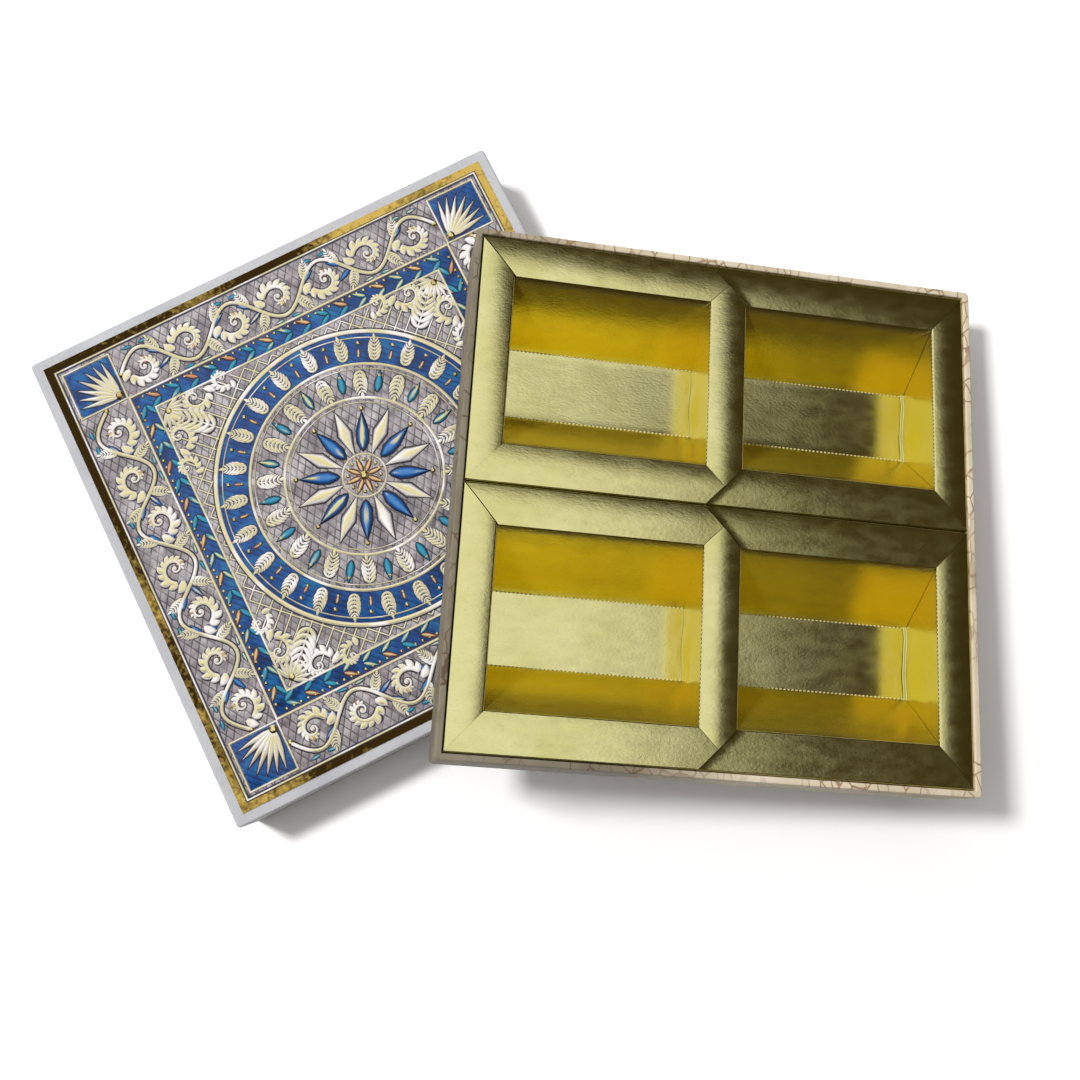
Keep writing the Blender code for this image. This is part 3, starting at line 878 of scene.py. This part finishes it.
def finish_motif(height, angle=60):
    """Closes a motif's editing and keeps each point's share of the press depth, which
    the ink follows."""
    face_out()
    piece = bpy.context.edit_object
    soften(angle)
    rises = piece.data.attributes.new("rise", "FLOAT", "POINT")
    for vert, item in zip(piece.data.vertices, rises.data):
        item.value = max(0.0, min(1.0, vert.co.z / height))
    clear_selection()
    return piece


def section(width, height, filled):
    """An upright profile in the x-z plane, at the origin: a press line with a low foot."""
    inner = max(width / 2 - FOOT, width * 0.3)
    half = [(width / 2, -SUNK), (width / 2, 0.06 * height), (inner, 0.12 * height),
            (inner * 0.6, 0.8 * height)]
    points = half + [(0, height)] + [(-x, z) for x, z in reversed(half)]
    bpy.ops.mesh.primitive_circle_add(vertices=len(points), radius=1,
                                      fill_type="NGON" if filled else "NOTHING")
    open_mesh()
    mesh = bpy.context.edit_object.data
    shape = bmesh.from_edit_mesh(mesh)
    shape.verts.ensure_lookup_table()
    for vert, (x, z) in zip(shape.verts, points):
        vert.co = (x, 0, z)
    bmesh.update_edit_mesh(mesh)


def sweep(width, height, path):
    """A press line along a path of (x, y, share of the width)."""
    places = [Vector(point[:2]) for point in path]
    headings = []
    for index in range(len(places)):
        ahead = places[min(index + 1, len(places) - 1)] - places[max(index - 1, 0)]
        headings.append(atan2(ahead.y, ahead.x) - pi / 2)
    size = path[0][2]
    section(width, height, True)
    resize(size, size, size ** 0.3)
    rotate(headings[0])
    bpy.ops.transform.translate(value=(*places[0], 0))
    for index in range(1, len(path)):
        pull((*(places[index] - places[index - 1]), 0))
        centre = (*places[index], 0)
        turn = headings[index] - headings[index - 1]
        rotate(atan2(sin(turn), cos(turn)), centre)
        ratio = path[index][2] / path[index - 1][2]
        resize(ratio, ratio, ratio ** 0.3, centre)
    return finish_motif(height)


def arc(length, bend, steps, shares):
    """A path that bends by so many degrees along its length."""
    path = []
    x = y = 0.0
    for step in range(steps + 1):
        path.append((x, y, shares(step / steps)))
        turn = radians(bend) * (step + 0.5) / steps
        x += length / steps * cos(turn)
        y += length / steps * sin(turn)
    return path


def comma(length, width, bend):
    """A curled leaflet: fullest before its middle and drawn out to a point."""
    return sweep(width, RELIEF, arc(length, bend, 5, lambda share:
                                    sin(pi * (0.2 + 0.78 * share) ** 1.1)))


def volute(radius, turns, width):
    """A scroll that winds in to its eye."""
    steps = int(turns * 16)
    path = []
    for step in range(steps + 1):
        angle = 2 * pi * turns * step / steps
        out = radius * exp(-0.25 * angle)
        path.append((out * cos(angle), out * sin(angle), 0.3 + 0.7 * out / radius))
    return sweep(width, RELIEF, path)


def leaf(length, width, points=14, angle=60):
    """A pointed leaf from the origin along +x, with a dark foot and a ridge."""
    bpy.ops.mesh.primitive_circle_add(vertices=points, radius=1, fill_type="NGON")
    open_mesh()
    mesh = bpy.context.edit_object.data
    shape = bmesh.from_edit_mesh(mesh)
    for vert in shape.verts:
        share = (vert.co.x + 1) / 2
        belly = sin(pi * share ** 0.75) * (1 - 0.25 * share)
        side = 0 if abs(vert.co.y) < 1e-5 else (1 if vert.co.y > 0 else -1)
        vert.co = (length * share, side * width / 2 * belly, -SUNK)
    bmesh.update_edit_mesh(mesh)
    pull((0, 0, SUNK + 0.06 * RELIEF))
    foot = max(1 - 2.4 * FOOT / width, 0.5)
    for rise, long, broad in ((0.06, 0.5 + foot / 2, foot), (0.5, 0.95, 0.66), (0.38, 0.84, 0.12)):
        pull((0, 0, rise * RELIEF))
        resize(long, broad, 1, (length * 0.45, 0, 0))
    return finish_motif(RELIEF, angle)


def bead(radius):
    """A round stud."""
    bpy.ops.mesh.primitive_circle_add(vertices=10, radius=radius, fill_type="NGON")
    open_mesh(-SUNK)
    pull((0, 0, 2 * SUNK))
    for rise, share in ((0.2, 0.82), (0.4, 0.72), (0.2, 0.45)):
        pull((0, 0, rise * RELIEF))
        resize(share, share)
    return finish_motif(RELIEF)


def ring(radius, width, height):
    """A round press line, spun about the middle."""
    section(width, height, False)
    bpy.ops.transform.translate(value=(radius, 0, 0))
    bpy.ops.mesh.spin(steps=96, angle=2 * pi, center=(0, 0, 0), axis=(0, 0, 1))
    return finish_motif(height)


def square_line(half, width, height):
    """A square press line with mitred corners, its middle half away from the centre."""
    bpy.ops.mesh.primitive_plane_add(size=2 * half + width)
    open_mesh(-SUNK)
    bpy.ops.mesh.inset(thickness=width, depth=0)
    bpy.ops.mesh.delete(type="FACE")
    bpy.ops.mesh.select_all(action="SELECT")
    pull((0, 0, SUNK + 0.06 * height))
    bpy.ops.mesh.inset(thickness=min(FOOT, width * 0.2), depth=0.06 * height)
    bpy.ops.mesh.inset(thickness=width * 0.16, depth=0.75 * height)
    return finish_motif(height, 30)


def plate(corners, half, top):
    """A thin raised field with a bevelled edge, in millimetres: a square, half of it
    from its middle to a side, or a disc of many corners."""
    square = corners == 4
    bpy.ops.mesh.primitive_circle_add(vertices=corners, fill_type="NGON",
                                      radius=half * MM * (2 ** 0.5 if square else 1),
                                      rotation=(0, 0, pi / 4 if square else 0))
    open_mesh(-SUNK)
    pull((0, 0, SUNK / 2 + top * MM))
    bpy.ops.mesh.inset(thickness=SUNK, depth=SUNK / 2)
    return finish_motif(top * MM, 30)


def gather(parts, name, material):
    """Joins shapes into one piece of the label and lays it on the lid."""
    piece = cluster(parts)
    choose(piece)
    open_mesh()
    bpy.ops.mesh.normals_make_consistent(inside=False)
    lay(piece, LID_SEAT @ Matrix.Translation((0, 0, LABEL_TOP)))
    present(piece, name, "lid", "printed_foil", ["lid_label"], material)


def at(x, y, turn=0.0, scale=1.0, level=0.0, flip=False):
    """A place on the label, in millimetres and degrees."""
    mirror = Matrix.Scale(-1, 4, (0, 1, 0)) if flip else Matrix.Identity(4)
    return (Matrix.Translation((x * MM, y * MM, level * MM))
            @ Matrix.Rotation(radians(turn), 4, "Z") @ Matrix.Scale(scale, 4) @ mirror)


def around(place, count, turn=0.0):
    """The same place repeated about the middle."""
    return [Matrix.Rotation(2 * pi * step / count + radians(turn), 4, "Z") @ place
            for step in range(count)]


def plume(length, bend, pairs, width):
    """A spray of curled leaflets in pairs along a spine."""
    path = arc(length, bend, 12, lambda share: 1 - 0.6 * share)
    spine = sweep(1.2 * width, 0.9 * RELIEF, path)
    places = []
    for pair in range(pairs):
        share = (pair + 0.3) / pairs
        x, y, _ = path[int(share * 12)]
        size = (0.75 + 0.45 * sin(pi * share ** 0.7)) * (1 - 0.3 * share)
        for side in (1, -1):
            places.append(at(x / MM, y / MM, bend * share + 68 * side, size, flip=side < 0))
    x, y, _ = path[-2]
    places += [at(x / MM, y / MM, bend - 22, 0.75, flip=True), at(x / MM, y / MM, bend + 22, 0.75)]
    return cluster([spine] + copies(comma(0.46 * length, 2.7 * width, -58), places))


def rinceau(radius):
    """A leafy scroll: a volute with leaflets growing off its back."""
    leaves = []
    for step in range(12):
        angle = -0.5 + 0.45 * step
        out = 0.86 * radius * exp(-0.22 * angle) / MM
        leaves.append(at(out * cos(angle), out * sin(angle), degrees(angle) + 26,
                         (1.12 - 0.06 * step) * (0.9 if step % 2 else 1.05)))
    inner = volute(radius, 1.7, 0.52 * radius)
    eye = bead(0.16 * radius)
    return cluster([inner, eye] + copies(comma(0.74 * radius, 0.66 * radius, 62), leaves))


def fan(radius, flutes, width, spread):
    """A shell of flutes that spread from its hinge, so many degrees either side of +x."""
    places = []
    for step in range(flutes):
        lean = 2 * step / (flutes - 1) - 1
        places.append(at(0, 0, spread * lean, 1 - 0.12 * abs(lean)))
    return cluster(copies(leaf(radius, width, 10), places))


# The label's layout, in millimetres: the middle of its border, and the scrolls along it
BORDER = 82.2
UNIT = 20.2
UNITS = 7
REACH = UNIT * UNITS / 2


def label_fields():
    """The foil sheet, and the printed fields that lie on it one over another."""
    bpy.ops.mesh.primitive_plane_add(size=2 * LABEL_HALF)
    open_mesh(-PAPER)
    pull((0, 0, PAPER))
    bpy.ops.mesh.inset(thickness=3 * MM, depth=0)
    gather([finish_motif(PAPER, 30)], "label_sheet", BAND_FOIL)
    for name, look, plates in (("violet", VIOLET_FIELD, ((4, 95.2, 0.03), (4, 72.2, 0.1))),
                               ("grey", GREY_FIELD, ((4, 93.6, 0.06), (64, 45.4, 0.36))),
                               ("blue", BLUE_FIELD, ((4, 70.4, 0.14), (64, 59.5, 0.34))),
                               ("pearl", PEARL_FIELD, ((4, 63.4, 0.2), (48, 9.0, 0.42)))):
        parts = []
        if name == "blue":
            parts += copies(plate(4, 9.6, 0.1), around(at(BORDER, BORDER), 4))
        parts += [plate(*sizes) for sizes in plates]
        gather(parts, f"label_{name}_fields", look)


def label_mouldings():
    """The square and round press lines between the fields."""
    parts = copies(square_line(10.2 * MM, 1.5 * MM, 0.45 * MM), around(at(BORDER, BORDER), 4))
    for half, width, height in ((94.6, 1.5, 0.4), (71.6, 2.0, 0.5), (63.4, 2.0, 0.6)):
        parts.append(square_line(half * MM, width * MM, height * MM))
    for radius, width in ((59.6, 2.8), (56.9, 1.0), (45.9, 2.2), (43.9, 0.9), (31.9, 2.2),
                          (29.9, 0.9), (8.8, 1.6)):
        parts += copies(ring(radius * MM, width * MM, 0.4 * MM), [at(0, 0, level=0.3)])
    gather(parts, "label_mouldings", PEARL)


def label_ornament():
    """Scrolls, sprays, shells, star and leaves, from the border in to the medallion."""
    path = []
    for step in range(UNITS * 12 + 1):
        x = -REACH + UNIT * step / 12
        path.append((x * MM, (BORDER + 7.6 * sin(pi * (x + REACH) / UNIT)) * MM, 1.0))
    stems = copies(sweep(2.5 * MM, 0.5 * MM, path), around(at(0, 0, level=0.06), 4))
    scrolls, sprays, teal, copper, blue = [], [], [], [], []
    for unit in range(UNITS):
        x = -REACH + UNIT * (unit + 0.5)
        up = 1 if unit % 2 == 0 else -1
        scrolls += around(at(x, BORDER - 1.0 * up, 180 + 20 * up, 1.0, 0.06, up < 0), 4)
        copper += around(at(x + 1.0, BORDER - 0.6 * up, 90 * up, 0.42, 0.2), 4)
        for side in (1, -1):
            edge = x + side * UNIT / 2
            if abs(edge) < REACH - 1:
                sprays += around(at(edge - side * 2.6, BORDER + 2.9 * up,
                                    90 * up + side * 24, 0.62, 0.06, side * up > 0), 4)
                blue += around(at(edge - side * 1.0, BORDER + 1.6 * up,
                                  90 * up + side * 62, 0.62, 0.06), 4)
            teal += around(at(x + side * 1.4, BORDER + 9.2 * up,
                              90 - 90 * side + side * up * 4, 0.42, 0.06), 4)
    parts = stems + copies(rinceau(6.4 * MM), scrolls)
    inner = []
    for x, y, turn, size in ((76.5, 8.4, 150, 1.05), (68.8, 19.5, 205, 0.8)):
        for side in (1, -1):
            inner += around(at(x, y * side, turn * side, size, 0.2, side < 0), 4, 45)
    gather(parts + copies(rinceau(5.6 * MM), inner), "label_scrolls", PEARL)

    sprays += around(at(47.6, 0, 0, 0.78, 0.34), 24)
    sprays += around(at(42.9, 0, 180, 0.84, 0.36), 16)
    sprays += around(at(64.2, 0, 0, 1.35, 0.2), 4, 45)
    gather(copies(plume(11.5 * MM, 10, 6, 1.0 * MM), sprays), "label_sprays", PEARL)

    shells = copies(fan(21.0 * MM, 7, 4.0 * MM, 37),
                    around(at(BORDER - 8.4, BORDER - 8.4, 45, 1.0, 0.1), 4))
    shells += copies(fan(12.0 * MM, 9, 3.4 * MM, 72), around(at(85.2, 0, 180, 1, 0.2), 4, 45))
    star = copies(leaf(21.5 * MM, 8.2 * MM, 4, 20), around(at(8.0, 0, 0, 1.0, 0.38), 8))
    gather(shells + star, "label_star_and_shells", PEARL)

    teal += around(at(34.0, 0, 0, 0.85, 0.36), 16, 11.25)
    blue += around(at(9.5, 0, 0, 1.45, 0.38), 8, 22.5)
    copper += around(at(1.2, 0, 0, 0.62, 0.42), 8)
    copper += around(at(52.5, 0, 180, 0.4, 0.34), 24, 7.5)
    for step in range(16):
        x = -66.9 + 133.8 * (step + 0.5) / 16
        for side in (1, -1):
            blade = around(at(x + 3.4, 66.9, 180 - side * 32, 0.62, 0.14), 4)
            (copper if side > 0 and step % 2 == 0 else teal).extend(blade)
    for name, width, places, look in (("teal", 5.0, teal, TEAL), ("blue", 4.6, blue, BLUE),
                                      ("copper", 4.6, copper, COPPER)):
        gather(copies(leaf(12 * MM, width * MM, 12), places), f"label_{name}_leaves", look)


def label_studs():
    """Gold studs: a row along the blue strip, and single ones in rings and corners."""
    places = []
    for step in range(44):
        places += around(at(-68.0 + 136.0 * (step + 0.5) / 44, 69.7, 0, 0.62, 0.14), 4)
    for x, y, size, level, count, turn in (
            (54.6, 0, 0.8, 0.34, 24, 7.5), (49.2, 0, 0.6, 0.34, 24, 7.5),
            (41.3, 0, 0.9, 0.36, 16, 11.25), (27.4, 0, 0.9, 0.38, 8, 22.5),
            (6.6, 0, 0.7, 0.42, 16, 0), (BORDER - 7.6, BORDER - 7.6, 1.7, 0.16, 4, 0),
            (84.0, 0, 1.6, 0.2, 4, 45), (-REACH, BORDER, 1.1, 0.08, 4, 0),
            (REACH, BORDER, 1.1, 0.08, 4, 0), (0, 0, 1.6, 0.42, 1, 0)):
        places += around(at(x, y, 0, size, level), count, turn)
    gather(copies(bead(1.15 * MM), places), "label_studs", GILDING)


def label_trellis():
    """Crossed diagonal bars over the pearl field."""
    root2 = 2 ** 0.5
    pitch = 6.2
    reach = 62.6
    shortest = 8
    count = int(reach * root2 / pitch)
    places = []
    bar = sweep(1.1 * MM, 0.14 * MM, [(-0.5 * MM, 0, 1.0), (0.5 * MM, 0, 1.0)])
    for way in (1, -1):
        for step in range(-count, count + 1):
            offset = step * pitch / root2
            length = 2 * root2 * (reach - abs(offset) * root2 / 2) - 2
            if length > shortest:
                places.append(at(offset / root2, -way * offset / root2, 45 * way, level=0.2)
                              @ Matrix.Scale(length, 4, (1, 0, 0)))
    gather(copies(bar, places), "label_trellis", PEARL)


# Everything in place

clear_selection()
for insert, seat in (("back", BACK_SEAT), ("front", FRONT_SEAT)):
    trough(insert, seat)
    nicks(insert, seat)
    end_piece(insert, seat, "left", 0, [])
    end_piece(insert, seat, "right", pi, WALL_BULGES)
    divider(insert, seat)

UPSIDE_DOWN = Matrix.Translation((0, 0, SHELL_HEIGHT)) @ Matrix.Rotation(pi, 4, "X")
paper_shell("lid_paper_wrap", LID_SIDE, LID_SEAT, "lid", "white_paper", "lid_wrap",
            LID_PAPER)
paper_shell("tray_paper_wrap", TRAY_SIDE, TRAY_SEAT @ UPSIDE_DOWN, "tray", "veined_paper",
            "tray_wrap", TRAY_PAPER)
label_fields()
label_mouldings()
label_ornament()
label_studs()
label_trellis()

for name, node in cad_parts.items():
    coat = BOARD if "board" in name else TAPE if "stay" in name else LINER_PAPER
    if not node.hide_render:
        node.data.materials.clear()
        node.data.materials.append(coat)


# Floor, light and camera

# Where the floor starts to turn white, and where it is white altogether
FLOOR_FADE = (0.24, 0.5)


def floor():
    """A pale floor that keeps the object's shadow and turns to plain white away from it,
    for the eye and in the gold."""
    clear_selection()
    bpy.ops.mesh.primitive_plane_add(size=6)
    ground = bpy.context.object
    ground.name = "floor"
    made, node, place, shader = blank("pale_floor")
    out = node("VectorMath", {0: place}, operation="LENGTH")
    far = node("MapRange", {0: out, 1: FLOOR_FADE[0], 2: FLOOR_FADE[1]},
               interpolation_type="SMOOTHSTEP")
    path = node("LightPath").outputs
    seen = node("Math", {0: path["Is Camera Ray"], 1: path["Is Glossy Ray"]}, operation="MAXIMUM")
    gone = node("Math", {0: seen, 1: far}, operation="MULTIPLY")
    tint = node("Mix", {0: seen, 6: ink("#C8C8C8"), 7: WHITE}, **COLOUR)
    fade = node("Mix", {0: gone, 6: tint, 7: BLACK}, **COLOUR)
    near = node("Math", {0: seen, 1: 0.03}, operation="MULTIPLY")
    lift = node("Math", {0: gone, 1: 0.98, 2: near}, operation="MULTIPLY_ADD")
    plug(shader, {"Base Color": fade, "Roughness": 0.9, "Specular IOR Level": 0.0,
                  "Emission Color": WHITE, "Emission Strength": lift})
    ground.data.materials.append(made)


def sky():
    """White to the camera; to the object a broad soft window overhead and to the left, in
    a dim, warm room."""
    world = bpy.data.worlds.new("studio")
    bpy.context.scene.world = world
    world.use_nodes = True
    world.node_tree.nodes.clear()
    node = partial(add, world.node_tree)
    x, y, z = node("SeparateXYZ", {0: node("TexCoord").outputs["Generated"]}).outputs
    slant = node("Math", {0: x, 1: 0.8, 2: y}, operation="MULTIPLY_ADD")
    cover = 1.0
    # The window's edges: the way each is measured, where all is dark and where it is full
    for way, dark, full in ((x, 0.5, 0.38), (x, -0.9, -0.75), (slant, 0.84, 0.66),
                            (y, -0.45, -0.2), (z, 0.0, 0.2)):
        side = node("MapRange", {0: way, 1: dark, 2: full}, interpolation_type="SMOOTHSTEP")
        cover = node("Math", {0: cover, 1: side}, operation="MULTIPLY")
    room = node("Mix", {0: cover, 6: ink("#3E331A"), 7: WHITE}, **COLOUR)
    seen = node("LightPath").outputs["Is Camera Ray"]
    tint = node("Mix", {0: seen, 6: room, 7: WHITE}, **COLOUR)
    light = node("Background", {"Color": tint, "Strength": 1.0})
    node("OutputWorld", {0: light})


def softbox():
    """The one lamp, high up and to the left; the gold doesn't mirror it."""
    data = bpy.data.lights.new("key_softbox", "AREA")
    data.size = 0.42
    data.energy = 65.0
    thing = bpy.data.objects.new("key_softbox", data)
    bpy.context.scene.collection.objects.link(thing)
    thing.location = (-1.36, 0.44, 2.5)
    thing.rotation_euler = (-thing.location).to_track_quat("-Z", "Y").to_euler()
    thing.visible_glossy = False


def camera():
    """The photograph's view: nearly overhead, from a little in front."""
    right = Vector((0.99744, 0.06792, -0.02228))
    up = Vector((-0.06415, 0.98805, 0.14012))
    back = Vector((0.03154, -0.13833, 0.98988))
    data = bpy.data.cameras.new("camera")
    data.sensor_width = 36
    data.lens = 39.67
    data.clip_start = 0.01
    thing = bpy.data.objects.new("camera", data)
    bpy.context.scene.collection.objects.link(thing)
    turn = Matrix((right, up, back)).transposed().to_4x4()
    thing.matrix_world = Matrix.Translation(Vector((36.76, -86.27, 493.69)) * MM) @ turn
    bpy.context.scene.camera = thing


floor()
sky()
softbox()
camera()
bpy.context.scene.view_settings.view_transform = "Standard"
